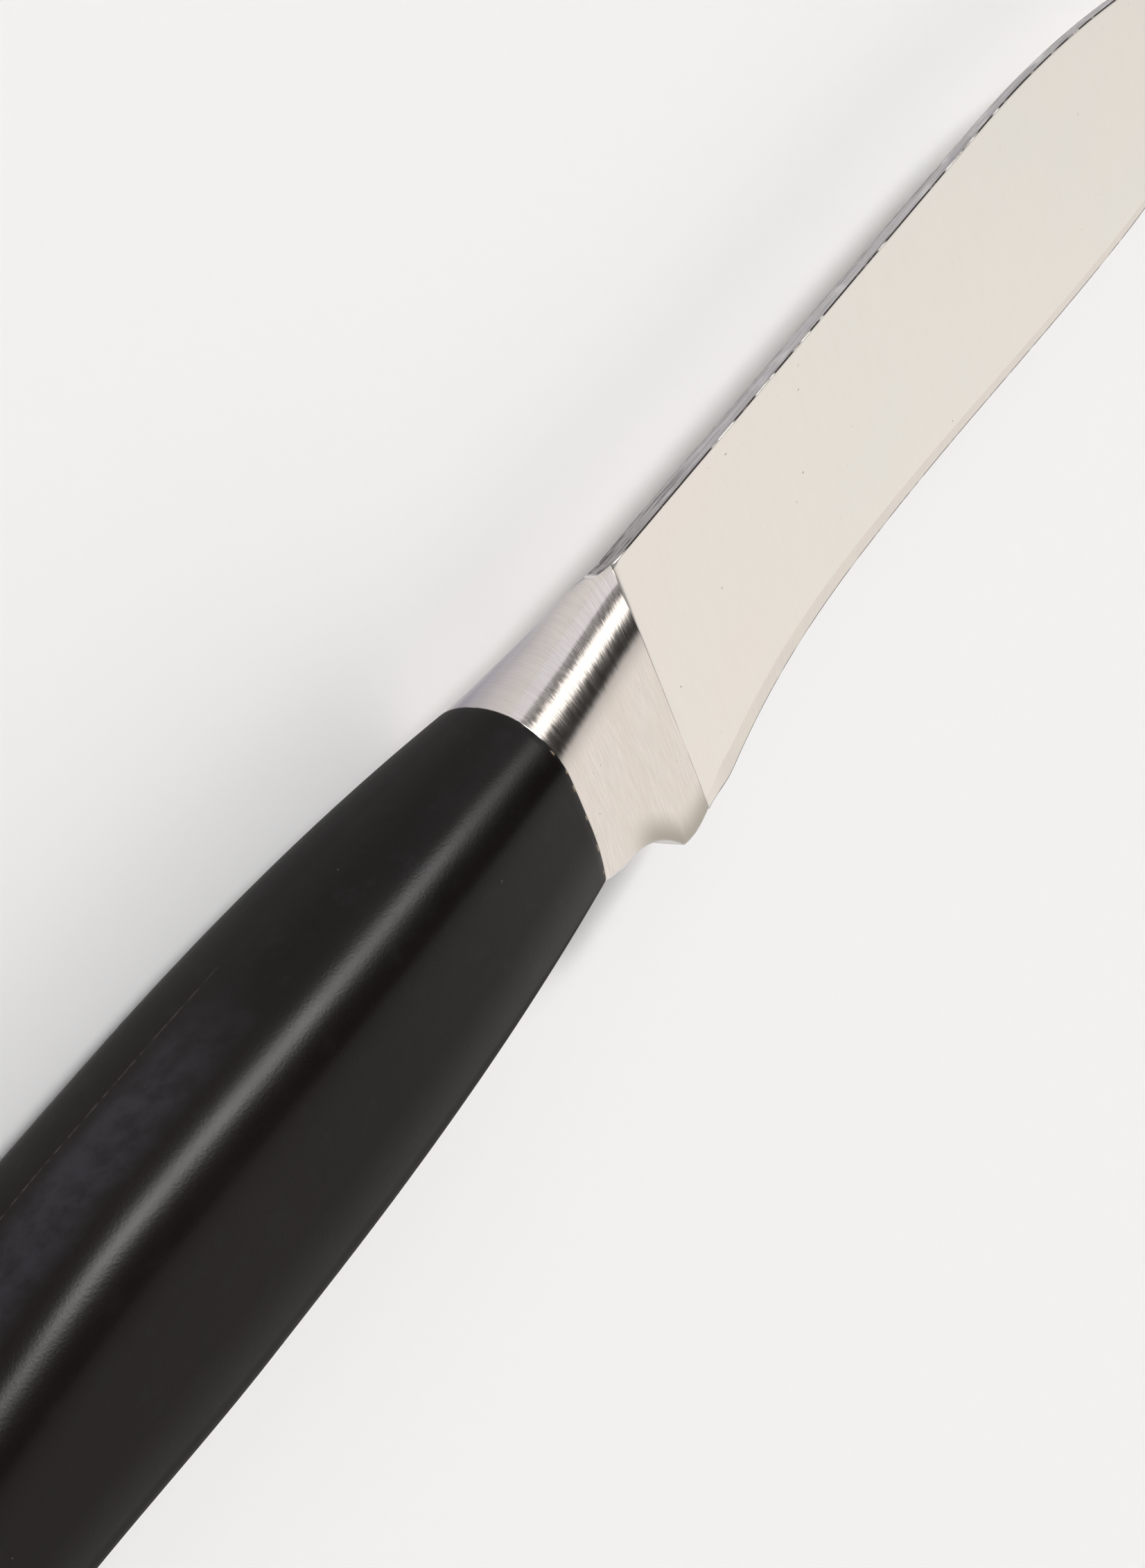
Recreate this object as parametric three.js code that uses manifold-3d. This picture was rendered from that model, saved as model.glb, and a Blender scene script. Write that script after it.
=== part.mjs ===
// Steak knife lying on its left side: a ground blade is let into the front of a bolster, and a tang
// runs back from the bolster between two handle shells that are keyed to it by blind cross pins.
// Millimetres. +X points to the tip, +Y to the spine and +Z up. The joint between bolster and handle
// is the plane x = 0 while the pieces are made, with y = 0 along the middle of the tang.
import * as THREE from "three";
import { mergeVertices } from "three/addons/utils/BufferGeometryUtils.js";
import Module from "manifold-3d";

const wasm = await Module();
wasm.setup();

const { clamp, lerp, smoothstep, degToRad } = THREE.MathUtils;

// Clearance between a piece and the pocket, slot or hole that takes it
const FIT = 0.3;

// Section where the handle meets the bolster, with its height and depth measured from the axis;
// the exponent of an ellipse is 2, and a larger one is squarer; the lean draws the lower edge in, and
// the side drop is the share of the half height below the middle down to which the side is flat
const JOINT_HEIGHT = 10;
const JOINT_DEPTH = 6.15;
const JOINT_THICKNESS = 13;
const JOINT_EXPONENT = 2.2;
const JOINT_EDGE_ROUND = 0.4;
const JOINT_LEAN = 0.12;
const SIDE_FLATNESS = 0.03;
const SIDE_DROP = 0.3;
const CROWN_SHARE = 0.999;

// Handle, with distances measured back from the joint
const HANDLE_LENGTH = 92;
const HANDLE_THICKNESS = 18;
const HANDLE_EXPONENT = 2.5;
const HANDLE_EDGE_ROUND = 3.5;
const HANDLE_LEAN = 0.17;
const SWELL_LENGTH = 40;
const BACK_HEIGHT = 12.45;
const BACK_TOP_AT = 54;
const BUTT_HEIGHT = 9.6;
const PALM_DEPTH = 9;
const PALM_AT = 45;
const GRIP_END = 50;
const WAIST_DEPTH = 8.2;
const WAIST_AT = 75;
const HOOK_DEPTH = 10.3;
const BUTT_ROUND = 9;
const BUTT_END_ANGLE = degToRad(60);

// Bolster, with distances measured forward from the joint
const BOLSTER_LENGTH = 19.3;
const NOSE_THICKNESS = 1.7;
const STRIP_SLOPE = 0.14;
const HEEL_DEPTH = 14.45;
const SPUR_DEPTH = 13.5;
const SPUR_LENGTH = 5.7;
const NOTCH_AT = 5.6;
const NOTCH_SLOPE = 0.28;
const LIP_DROP = 0.5;

// Blade, with distances measured forward from the bolster and depths down from the axis
const BLADE_LENGTH = 120;
const SPINE_HEIGHT = 9.25;
const SPINE_THICKNESS = 1.6;
const SPINE_DROP_AT = 65;
const TIP_DEPTH = 1.4;
const TIP_HEIGHT = 0.4;
const TIP_THICKNESS = 0.8;
const HEEL_LENGTH = 4.6;
const HEEL_STEP = 0.1;
const HOLLOW_AT = 36;
const HOLLOW_DEPTH = 10.8;
const BELLY_AT = 80;
const BELLY_DEPTH = 11.9;
const BEVEL_AT_HEEL = 2;
const BEVEL_AT_TIP = 0.9;
const BEVEL_THICKNESS = 1.4;
const BEVEL_TIP_THICKNESS = 0.35;
const EDGE_THICKNESS = 0.1;

// Tongue of the blade inside the bolster
const TONGUE_LENGTH = 7;
const TONGUE_THICKNESS = 0.7;
const TONGUE_TOP = 4;
const TONGUE_BOTTOM = -6;
const TONGUE_ROOT = 2;

// Tang, its cross pins and the adhesive beds on both of its faces
const TANG_HEIGHT = 8;
const TANG_THICKNESS = 2.5;
const TANG_SEAT = 8;
const BUTT_WALL = 20;
const PIN_DIAMETER = 4;
const PIN_LENGTH = 10;
const FIRST_PIN_AT = 12;
const LAST_PIN_MARGIN = 10;
const BED_THICKNESS = 1.25;

// Powers that shape the curves: 1 is a straight run, and a larger one bends more
const BACK_POWER = 2.7;
const PALM_POWER = 2.3;
const SWELL_POWER = 2;
const LIP_POWER = 2;
const SPUR_POWER = 2.5;
const SPINE_POWER = 2;
const HOLLOW_POWER = 2.8;
const BELLY_POWER = 2.4;
const BEVEL_POWER = 3;

// Facets
const CORNER_STEPS = 4;
const SIDE_STEPS = 5;
const CROWN_STEPS = 10;
const HANDLE_STATIONS = 24;
const BUTT_STATIONS = 8;
const LIP_STATIONS = 4;
const NOTCH_STATIONS = 12;
const SPUR_STATIONS = 5;
const BLADE_STATIONS = 40;
const ROUND_SEGMENTS = 24;

const MERGE_DISTANCE = 1e-4;
const EDGE_START_DEPTH = HEEL_DEPTH + HEEL_STEP;
const TANG_REACH = HANDLE_LENGTH - BUTT_WALL;
const POCKET_DEPTH = TANG_THICKNESS / 2 + BED_THICKNESS;

const PIN_NAMES = ["front_pin", "middle_pin", "rear_pin"];

const STEEL = new THREE.MeshStandardMaterial({ color: 0xd8d4cc, roughness: 0.3, metalness: 1 });
const TANG_STEEL = new THREE.MeshStandardMaterial({ color: 0x9a9a9a, roughness: 0.5, metalness: 1 });
const BLACK_PLASTIC = new THREE.MeshStandardMaterial({ color: 0x1c1b1c, roughness: 0.45, metalness: 0 });
const ADHESIVE = new THREE.MeshStandardMaterial({ color: 0xb9a77c, roughness: 0.6, metalness: 0 });

// Eases from 0 to 1, steep at first and level at the end
function easeOut(share, power) {
  return 1 - (1 - clamp(share, 0, 1)) ** power;
}

// Steps from start to end, both included
function evenSteps(start, end, count) {
  return Array.from({ length: count + 1 }, (_, i) => lerp(start, end, i / count));
}

// Half of a section from the middle of its flat underside round the +Z side to its top: a rounded lower
// edge, a flat side, and a crown like a quarter of a superellipse, cut off at a level where one is given
function halfSection({ x, top, bottom, thickness, exponent, edgeRound, lean, level = top }) {
  const middle = (top + bottom) / 2;
  const reach = (top - bottom) / 2;
  const flat = thickness / 2;
  const crownWidth = flat * (1 + SIDE_FLATNESS);
  const round = Math.min(edgeRound, flat / 2);
  const corner = evenSteps(0, Math.PI / 2, CORNER_STEPS).map((angle) => [
    bottom + round * (1 - Math.cos(angle)),
    flat - round * (1 - Math.sin(angle)),
  ]);
  const flatLow = middle - SIDE_DROP * reach;
  const side = evenSteps(bottom + round, flatLow, SIDE_STEPS).slice(1).map((y) => [y, flat]);
  const crownShare = Math.min((level - middle) / reach, CROWN_SHARE);
  const crownStart = Math.acos((1 + SIDE_FLATNESS) ** (-exponent / 2));
  const crownEnd = Math.asin(crownShare ** (exponent / 2));
  const crown = evenSteps(crownStart, crownEnd, CROWN_STEPS).map((angle) => [
    middle + reach * Math.sin(angle) ** (2 / exponent),
    crownWidth * Math.cos(angle) ** (2 / exponent),
  ]);
  const ridge = [middle + reach * crownShare, 0];
  return [[bottom, 0], ...corner, ...side, ...crown, ridge].map(([y, z]) => {
    const below = Math.max(0, (flatLow - y) / (flatLow - bottom));
    return new THREE.Vector3(x, y, z * (1 - lean * below ** 2));
  });
}

// The whole section, with the half mirrored on z = 0
function fullSection(shape) {
  const half = halfSection(shape);
  const mirrored = half.slice(1, -1).reverse().map((p) => new THREE.Vector3(p.x, p.y, -p.z));
  return [...half, ...mirrored];
}

// A closed skin over sections of equal point count, capped with fans at both ends
function loft(sections) {
  const count = sections[0].length;
  const positions = sections.flat().flatMap((p) => p.toArray());
  const index = [];
  const last = (sections.length - 1) * count;
  for (let s = 0; s < last; s += count) {
    for (let i = 0; i < count; i++) {
      const next = (i + 1) % count;
      index.push(s + i, s + count + i, s + next);
      index.push(s + next, s + count + i, s + count + next);
    }
  }
  for (let i = 1; i < count - 1; i++) {
    index.push(0, i, i + 1);
    index.push(last, last + i + 1, last + i);
  }
  const geometry = new THREE.BufferGeometry();
  geometry.setAttribute("position", new THREE.Float32BufferAttribute(positions, 3));
  geometry.setIndex(index);
  return geometry;
}

function toSolid(geometry) {
  const bare = geometry.clone();
  bare.deleteAttribute("normal");
  bare.deleteAttribute("uv");
  const merged = mergeVertices(bare, MERGE_DISTANCE);
  return new wasm.Manifold(
    new wasm.Mesh({
      numProp: 3,
      vertProperties: merged.attributes.position.array,
      triVerts: new Uint32Array(merged.index.array),
    }),
  );
}

function toGeometry(solid) {
  const mesh = solid.getMesh();
  const geometry = new THREE.BufferGeometry();
  geometry.setAttribute("position", new THREE.BufferAttribute(mesh.vertProperties, 3));
  geometry.setIndex(new THREE.BufferAttribute(mesh.triVerts, 1));
  geometry.computeVertexNormals();
  return geometry;
}

function cut(geometry, ...tools) {
  const solid = tools.reduce((rest, tool) => rest.subtract(toSolid(tool)), toSolid(geometry));
  return toGeometry(solid);
}

function box(low, high) {
  const size = new THREE.Vector3().subVectors(high, low);
  const middle = new THREE.Vector3().addVectors(low, high).multiplyScalar(0.5);
  return new THREE.BoxGeometry(size.x, size.y, size.z).translate(middle.x, middle.y, middle.z);
}

// Handle outline at a distance behind the joint
function handleShape(distance) {
  const rising = lerp(JOINT_HEIGHT, BACK_HEIGHT, easeOut(distance / BACK_TOP_AT, BACK_POWER));
  const top = lerp(rising, BUTT_HEIGHT, smoothstep(distance, BACK_TOP_AT, HANDLE_LENGTH));
  const palm = lerp(JOINT_DEPTH, PALM_DEPTH, easeOut(distance / PALM_AT, PALM_POWER));
  const waist = lerp(palm, WAIST_DEPTH, smoothstep(distance, GRIP_END, WAIST_AT));
  const depth = lerp(waist, HOOK_DEPTH, smoothstep(distance, WAIST_AT, HANDLE_LENGTH));
  const swell = easeOut(distance / SWELL_LENGTH, SWELL_POWER);
  return {
    x: -distance,
    top,
    bottom: -depth,
    thickness: lerp(JOINT_THICKNESS, HANDLE_THICKNESS, swell),
    exponent: lerp(JOINT_EXPONENT, HANDLE_EXPONENT, swell),
    edgeRound: lerp(JOINT_EDGE_ROUND, HANDLE_EDGE_ROUND, swell),
    lean: lerp(JOINT_LEAN, HANDLE_LEAN, swell),
  };
}

// Handle outline in the rounded butt, drawn in towards the middle as the angle grows
function buttShape(angle) {
  const start = HANDLE_LENGTH - BUTT_ROUND;
  const shape = handleShape(start + (BUTT_ROUND * Math.sin(angle)) / Math.sin(BUTT_END_ANGLE));
  const middle = (shape.top + shape.bottom) / 2;
  const share = Math.cos(angle);
  return {
    ...shape,
    top: lerp(middle, shape.top, share),
    bottom: lerp(middle, shape.bottom, share),
    thickness: shape.thickness * share,
  };
}

// Right half of the handle as a solid with its flat on z = 0
function handleHalf() {
  const body = evenSteps(0, HANDLE_LENGTH - BUTT_ROUND, HANDLE_STATIONS).map(handleShape);
  const butt = evenSteps(0, BUTT_END_ANGLE, BUTT_STATIONS).slice(1).map(buttShape);
  return loft([...body, ...butt].reverse().map(halfSection));
}

// Depth of the bolster's lower edge: a sloping lip, a round finger notch, and the spur under the heel
function bolsterDepth(distance) {
  const spurAt = BOLSTER_LENGTH - SPUR_LENGTH;
  if (distance > spurAt) {
    return lerp(SPUR_DEPTH, HEEL_DEPTH, easeOut((distance - spurAt) / SPUR_LENGTH, SPUR_POWER));
  }
  const run = spurAt - NOTCH_AT;
  const drop = SPUR_DEPTH - JOINT_DEPTH - LIP_DROP - NOTCH_SLOPE * spurAt;
  const notchRadius = (run ** 2 + drop ** 2) / (2 * drop);
  const along = Math.max(0, distance - NOTCH_AT);
  const notch = notchRadius - Math.sqrt(notchRadius ** 2 - along ** 2);
  const lip = LIP_DROP * easeOut(distance / NOTCH_AT, LIP_POWER);
  return JOINT_DEPTH + NOTCH_SLOPE * distance + lip + notch;
}

// Bolster outline at a distance in front of the joint
function bolsterShape(distance) {
  const share = distance / BOLSTER_LENGTH;
  return {
    x: distance,
    top: JOINT_HEIGHT,
    level: SPINE_HEIGHT + STRIP_SLOPE * (BOLSTER_LENGTH - distance),
    bottom: -bolsterDepth(distance),
    thickness: lerp(JOINT_THICKNESS, NOSE_THICKNESS, share),
    exponent: JOINT_EXPONENT,
    edgeRound: JOINT_EDGE_ROUND,
    lean: JOINT_LEAN,
  };
}

// The tongue, or with a margin its slot, which grips the tongue's faces and clears its edges
function tongueBox(margin, rear, front) {
  return box(
    new THREE.Vector3(rear, TONGUE_BOTTOM - margin, -TONGUE_THICKNESS / 2),
    new THREE.Vector3(front, TONGUE_TOP + margin, TONGUE_THICKNESS / 2),
  );
}

function bolsterGeometry() {
  const spurAt = BOLSTER_LENGTH - SPUR_LENGTH;
  const lip = evenSteps(0, NOTCH_AT, LIP_STATIONS);
  const notch = evenSteps(NOTCH_AT, spurAt, NOTCH_STATIONS).slice(1);
  const spur = evenSteps(spurAt, BOLSTER_LENGTH, SPUR_STATIONS).slice(1);
  const body = loft([...lip, ...notch, ...spur].map(bolsterShape).map(fullSection));
  const slot = tongueBox(FIT, BOLSTER_LENGTH - TONGUE_LENGTH - FIT, BOLSTER_LENGTH + FIT);
  const half = TANG_THICKNESS / 2 + FIT;
  const socket = box(
    new THREE.Vector3(-FIT, -TANG_HEIGHT / 2 - FIT, -half),
    new THREE.Vector3(TANG_SEAT + FIT, TANG_HEIGHT / 2 + FIT, half),
  );
  return cut(body, slot, socket);
}

function edgeHeight(distance) {
  if (distance < HOLLOW_AT) {
    const share = (distance - HEEL_LENGTH) / (HOLLOW_AT - HEEL_LENGTH);
    return -lerp(EDGE_START_DEPTH, HOLLOW_DEPTH, easeOut(share, HOLLOW_POWER));
  }
  if (distance < BELLY_AT) {
    return -lerp(HOLLOW_DEPTH, BELLY_DEPTH, smoothstep(distance, HOLLOW_AT, BELLY_AT));
  }
  const share = (distance - BELLY_AT) / (BLADE_LENGTH - BELLY_AT);
  return -lerp(BELLY_DEPTH, TIP_DEPTH + TIP_HEIGHT / 2, share ** BELLY_POWER);
}

function spineHeight(distance) {
  const share = Math.max(0, distance - SPINE_DROP_AT) / (BLADE_LENGTH - SPINE_DROP_AT);
  return lerp(SPINE_HEIGHT, TIP_HEIGHT / 2 - TIP_DEPTH, share ** SPINE_POWER);
}

// Wedge section of the blade: spine, bevel shoulder and edge on each side; the edge is blunt at the heel
function bladeSection(distance) {
  const share = distance / BLADE_LENGTH;
  const x = BOLSTER_LENGTH + distance;
  const spine = spineHeight(distance);
  const edge = edgeHeight(distance);
  const bevel = lerp(BEVEL_AT_TIP, BEVEL_AT_HEEL, (1 - share) ** BEVEL_POWER);
  const shoulder = edge + Math.min(bevel, (spine - edge) / 2);
  const halfBevel = lerp(BEVEL_THICKNESS, BEVEL_TIP_THICKNESS, share) / 2;
  const halfSpine = lerp(SPINE_THICKNESS, TIP_THICKNESS, share) / 2;
  const halfEdge = lerp(BEVEL_THICKNESS, EDGE_THICKNESS, Math.min(1, distance / HEEL_LENGTH)) / 2;
  const right = [
    new THREE.Vector3(x, edge, halfEdge),
    new THREE.Vector3(x, shoulder, halfBevel),
    new THREE.Vector3(x, spine, halfSpine),
  ];
  const left = right.map((p) => new THREE.Vector3(p.x, p.y, -p.z)).reverse();
  return [...right, ...left];
}

function bladeGeometry() {
  const front = evenSteps(HEEL_LENGTH, BLADE_LENGTH, BLADE_STATIONS);
  const plate = toSolid(loft([0, ...front].map(bladeSection)));
  const tongue = tongueBox(0, BOLSTER_LENGTH - TONGUE_LENGTH, BOLSTER_LENGTH + TONGUE_ROOT);
  return toGeometry(plate.add(toSolid(tongue)));
}

// Outline of the tang seen from the side, round at its rear end
function tangOutline(front, margin) {
  const half = TANG_HEIGHT / 2;
  const outline = new THREE.Shape();
  outline.moveTo(front, -half - margin);
  outline.lineTo(front, half + margin);
  outline.absarc(half - TANG_REACH, 0, half + margin, Math.PI / 2, (3 * Math.PI) / 2, false);
  outline.closePath();
  return outline;
}

function plate(outline, low, high) {
  const settings = { depth: high - low, bevelEnabled: false, curveSegments: ROUND_SEGMENTS };
  return new THREE.ExtrudeGeometry(outline, settings).translate(0, 0, low);
}

function pinPlaces() {
  return evenSteps(-FIRST_PIN_AT, LAST_PIN_MARGIN - TANG_REACH, PIN_NAMES.length - 1);
}

function pinAt(x, margin) {
  const radius = PIN_DIAMETER / 2 + margin;
  const length = PIN_LENGTH + 2 * margin;
  return new THREE.CylinderGeometry(radius, radius, length, ROUND_SEGMENTS)
    .rotateX(Math.PI / 2)
    .translate(x, 0, 0);
}

function pinHoles() {
  return pinPlaces().map((x) => pinAt(x, FIT));
}

function tangGeometry() {
  const strip = plate(tangOutline(TANG_SEAT, 0), -TANG_THICKNESS / 2, TANG_THICKNESS / 2);
  return cut(strip, ...pinHoles());
}

// Adhesive on one face of the tang: side is 1 on the right and -1 on the left
function bedGeometry(side) {
  const levels = [(side * TANG_THICKNESS) / 2, side * POCKET_DEPTH];
  const layer = plate(tangOutline(-FIT, 0), Math.min(...levels), Math.max(...levels));
  return cut(layer, ...pinHoles());
}

function shellGeometry(side) {
  const half = handleHalf();
  if (side < 0) {
    half.scale(1, 1, -1);
    half.setIndex([...half.index.array].reverse());
  }
  const pocket = plate(tangOutline(FIT, FIT), -POCKET_DEPTH, POCKET_DEPTH);
  return cut(half, pocket, ...pinHoles());
}

function piece(name, geometry, material) {
  const mesh = new THREE.Mesh(geometry, material);
  mesh.name = name;
  return mesh;
}

const knife = new THREE.Group();
knife.add(
  piece("blade", bladeGeometry(), STEEL),
  piece("bolster", bolsterGeometry(), STEEL),
  piece("tang", tangGeometry(), TANG_STEEL),
  piece("right_handle_shell", shellGeometry(1), BLACK_PLASTIC),
  piece("left_handle_shell", shellGeometry(-1), BLACK_PLASTIC),
  piece("right_adhesive_bed", bedGeometry(1), ADHESIVE),
  piece("left_adhesive_bed", bedGeometry(-1), ADHESIVE),
);
pinPlaces().forEach((x, i) => knife.add(piece(PIN_NAMES[i], pinAt(x, 0), TANG_STEEL)));

// The part stands on z = 0 with its origin under the middle of its box
const bounds = new THREE.Box3().setFromObject(knife);
const middle = bounds.getCenter(new THREE.Vector3());
knife.position.set(-middle.x, -middle.y, -bounds.min.z);

const part = new THREE.Group();
part.add(knife);

export default part;
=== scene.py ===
"""Steak knife dressed over its CAD frame: fine meshes for blade, bolster and handle shells, steel and
plastic materials, a pale floor, studio light and a camera close to the bolster. Metres throughout."""
import math
from dataclasses import dataclass, replace

import bmesh
import bpy
from mathutils import Matrix, Vector


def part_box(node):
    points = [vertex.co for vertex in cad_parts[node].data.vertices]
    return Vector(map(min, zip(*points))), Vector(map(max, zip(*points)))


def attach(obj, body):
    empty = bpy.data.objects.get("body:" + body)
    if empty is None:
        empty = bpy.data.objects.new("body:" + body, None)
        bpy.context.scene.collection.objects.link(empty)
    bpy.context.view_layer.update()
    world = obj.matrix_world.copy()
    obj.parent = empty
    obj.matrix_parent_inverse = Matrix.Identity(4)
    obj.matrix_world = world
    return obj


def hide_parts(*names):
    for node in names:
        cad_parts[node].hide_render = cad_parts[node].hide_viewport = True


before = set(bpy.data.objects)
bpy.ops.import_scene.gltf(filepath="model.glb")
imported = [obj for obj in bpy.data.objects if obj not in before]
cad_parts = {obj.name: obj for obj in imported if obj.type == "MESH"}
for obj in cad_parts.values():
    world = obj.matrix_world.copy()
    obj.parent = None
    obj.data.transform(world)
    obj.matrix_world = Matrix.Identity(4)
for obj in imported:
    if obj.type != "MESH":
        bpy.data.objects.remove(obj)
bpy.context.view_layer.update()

MM = 0.001

# Places and lengths that the frame gives; the joint of bolster and handle is the origin of the knife
bolster_low, bolster_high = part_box("bolster")
blade_low, blade_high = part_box("blade")
tang_low, tang_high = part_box("tang")
_, bed_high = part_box("right_adhesive_bed")
shell_low, shell_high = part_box("right_handle_shell")
PIN_NODES = ("front_pin", "middle_pin", "rear_pin")
BED_NODES = ("right_adhesive_bed", "left_adhesive_bed")
tang_middle = (tang_low + tang_high) / 2
JOINT = Vector((bolster_low.x, tang_middle.y, tang_middle.z))
BOLSTER_LENGTH = bolster_high.x - bolster_low.x
BLADE_LENGTH = blade_high.x - bolster_high.x
HANDLE_LENGTH = bolster_low.x - shell_low.x
HANDLE_THICKNESS = 2 * (shell_high.z - JOINT.z)
BACK_HEIGHT = shell_high.y - JOINT.y
TANG_HALF_HEIGHT = (tang_high.y - tang_low.y) / 2
TANG_HALF_THICKNESS = (tang_high.z - tang_low.z) / 2
TANG_REACH = bolster_low.x - tang_low.x
TANG_SEAT = tang_high.x - bolster_low.x
POCKET_DEPTH = bed_high.z - JOINT.z

# Clearance round the pieces that are hidden inside others
FIT = 0.3 * MM

# Section where the handle meets the bolster; an exponent of 2 is an ellipse and a larger one is squarer
JOINT_HEIGHT = 10 * MM
JOINT_DEPTH = 6.15 * MM
JOINT_THICKNESS = 13 * MM
JOINT_EXPONENT = 2.2
JOINT_EDGE_ROUND = 0.4 * MM
JOINT_LEAN = 0.12
SIDE_FLATNESS = 0.03
SIDE_DROP = 0.3
CROWN_SHARE = 0.9995

# Handle, with distances measured back from the joint
HANDLE_EXPONENT = 2.5
HANDLE_EDGE_ROUND = 3.5 * MM
HANDLE_LEAN = 0.17
SWELL_LENGTH = 40 * MM
BACK_TOP_AT = 54 * MM
BUTT_HEIGHT = 9.6 * MM
PALM_DEPTH = 9 * MM
PALM_AT = 45 * MM
GRIP_END = 50 * MM
WAIST_DEPTH = 8.2 * MM
WAIST_AT = 75 * MM
HOOK_DEPTH = 10.3 * MM
BUTT_ROUND = 9 * MM
BUTT_END_ANGLE = math.radians(60)
FRONT_ROUND = 0.1 * MM
PARTING_DEPTH = 0.006 * MM
PARTING_WIDTH = 0.2 * MM
PARTING_START = 31 * MM
PARTING_FULL = 36 * MM

# Bolster, with distances measured forward from the joint
NOSE_THICKNESS = 1.7 * MM
HEEL_DEPTH = 14.45 * MM
SPUR_DEPTH = 13.5 * MM
SPUR_LENGTH = 5.7 * MM
NOTCH_AT = 5.6 * MM
NOTCH_SLOPE = 0.28
LIP_DROP = 0.5 * MM
REAR_CHAMFER = 0.03 * MM
NOSE_CHAMFER = 0.05 * MM
STRIP_SLOPE = 0.14
STRIP_START = 17.2 * MM
FLARE_LENGTH = 2.3 * MM
FLARE_LOW = 6.2 * MM
FLARE_WIDTH = 0.28 * MM
EDGE_HEIGHT = "height_over_lower_edge"

# Lines along which the bolster's shoulder keeps one slope: degrees from the side to the top, and the
# line's height at the joint and at the blade
SHOULDER_LINES = (
    (0, 2.6 * MM, -0.4 * MM),
    (9.5, 5.15 * MM, 2.55 * MM),
    (29, 7.3 * MM, 5.25 * MM),
    (40, 8.75 * MM, 7.55 * MM),
    (50, 9 * MM, 7.9 * MM),
    (88, 10 * MM, 11.6 * MM),
)

# Blade, with distances measured forward from the bolster and depths down from the axis
SPINE_HEIGHT = 9.25 * MM
SPINE_THICKNESS = 1.6 * MM
SPINE_ROUND = 0.1 * MM
SPINE_DROP_AT = 65 * MM
TIP_DEPTH = 1.4 * MM
TIP_HEIGHT = 0.4 * MM
TIP_THICKNESS = 0.8 * MM
HEEL_LENGTH = 4.6 * MM
HEEL_STEP = 0.1 * MM
HEEL_SAG = 0.1 * MM
HEEL_BLEND = 0.8 * MM
HOLLOW_AT = 36 * MM
HOLLOW_DEPTH = 10.8 * MM
BELLY_AT = 80 * MM
BELLY_DEPTH = 11.9 * MM
BEVEL_AT_HEEL = 2.4 * MM
BEVEL_START = 0.4
BEVEL_AT_TIP = 0.9 * MM
BEVEL_THICKNESS = 1.4 * MM
BEVEL_TIP_THICKNESS = 0.35 * MM
EDGE_THICKNESS = 0.1 * MM
SHOULDER_SOFTNESS = 0.07 * MM
CORNER_LENGTH = 1.2 * MM
CORNER_HEIGHT = 0.4 * MM
CORNER_WIDTH = 0.12 * MM
FACE_SUPPORT = 0.2 * MM
REAR_ROUND = 0.8 * MM
REAR_DROP = 0.22 * MM
REAR_LOW = -9 * MM
LEAST_HALF = 0.02 * MM
EDGE_LINE = 0.1 * MM
TONGUE_LENGTH = bolster_high.x - blade_low.x
TONGUE_THICKNESS = 0.7 * MM
TONGUE_TOP = 4 * MM
TONGUE_BOTTOM = -6 * MM

# Powers that shape the curves: 1 is a straight run, and a larger one bends more
BACK_POWER = 2.7
PALM_POWER = 2.3
SWELL_POWER = 2
LIP_POWER = 2
SPUR_POWER = 2.5
SPINE_POWER = 2
HOLLOW_POWER = 2.8
BELLY_POWER = 2.4
BEVEL_POWER = 3

# Mesh fineness
CORNER_STEPS = 8
SIDE_STEPS = 24
CROWN_STEPS = 60
ROUND_STEPS = 4
FACE_STEPS = 6
HANDLE_STATIONS = 110
BUTT_STATIONS = 28
NOTCH_STATIONS = 40
SPUR_STATIONS = 24
HEEL_STATIONS = 40
HOLLOW_STATIONS = 70
FRONT_STATIONS = 120
ROUND_SEGMENTS = 32
SMOOTH_ANGLE = math.radians(35)

# Shares of a normal along an axis from which a face counts as looking that way
FACING = 0.9
STRIP_FACING = 0.95

# Material slots of the blade and of the bolster
FACE_SLOT, BEVEL_SLOT, SPINE_SLOT, CORNER_SHADE_SLOT = range(4)
BODY_SLOT, STRIP_SLOT = range(2)

# Where the steel's finish, painted shade and painted highlight change, as start and end along the knife
# from the joint
BLADE_TONING = (BOLSTER_LENGTH, BOLSTER_LENGTH + HOLLOW_AT)
HEEL_FADING = (BOLSTER_LENGTH, BOLSTER_LENGTH + HEEL_LENGTH)
SPINE_WEAR = (BOLSTER_LENGTH + 3 * MM, BOLSTER_LENGTH + 12 * MM)
SPINE_SCORING = (BOLSTER_LENGTH + 3 * MM, BOLSTER_LENGTH + 16 * MM)
STRIP_END_HIGHLIGHT = (STRIP_START + 0.1 * MM, STRIP_START + 0.7 * MM)
CORNER_SHADE_START = (BOLSTER_LENGTH + 0.8 * MM, BOLSTER_LENGTH + 2.5 * MM)
NOSE_LINE = (BOLSTER_LENGTH - 0.16 * MM, BOLSTER_LENGTH - 0.06 * MM)
TOP_SHADE_SHIFT_RUN = (8 * MM, 18 * MM)
NOTCH_SHADE_RUN = (4 * MM, 10 * MM)

# Bolster's look: the painted shade along a line on its top, in shares of its thickness and by how far it
# looks up, the height of the painted shade over the notch and the spur, and the lean of the brushed lines
TOP_SHADE_SHIFT = (0.1, 0.28)
TOP_SHADE_REACH = 0.55
TOP_SHADE_FADE_POWER = 2.2
TOP_SHADE_FACING = (0.55, 0.75)
NOTCH_SHADE_HEIGHT = (0.2 * MM, 3.4 * MM)
BRUSH_LEAN = 0.045
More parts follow.
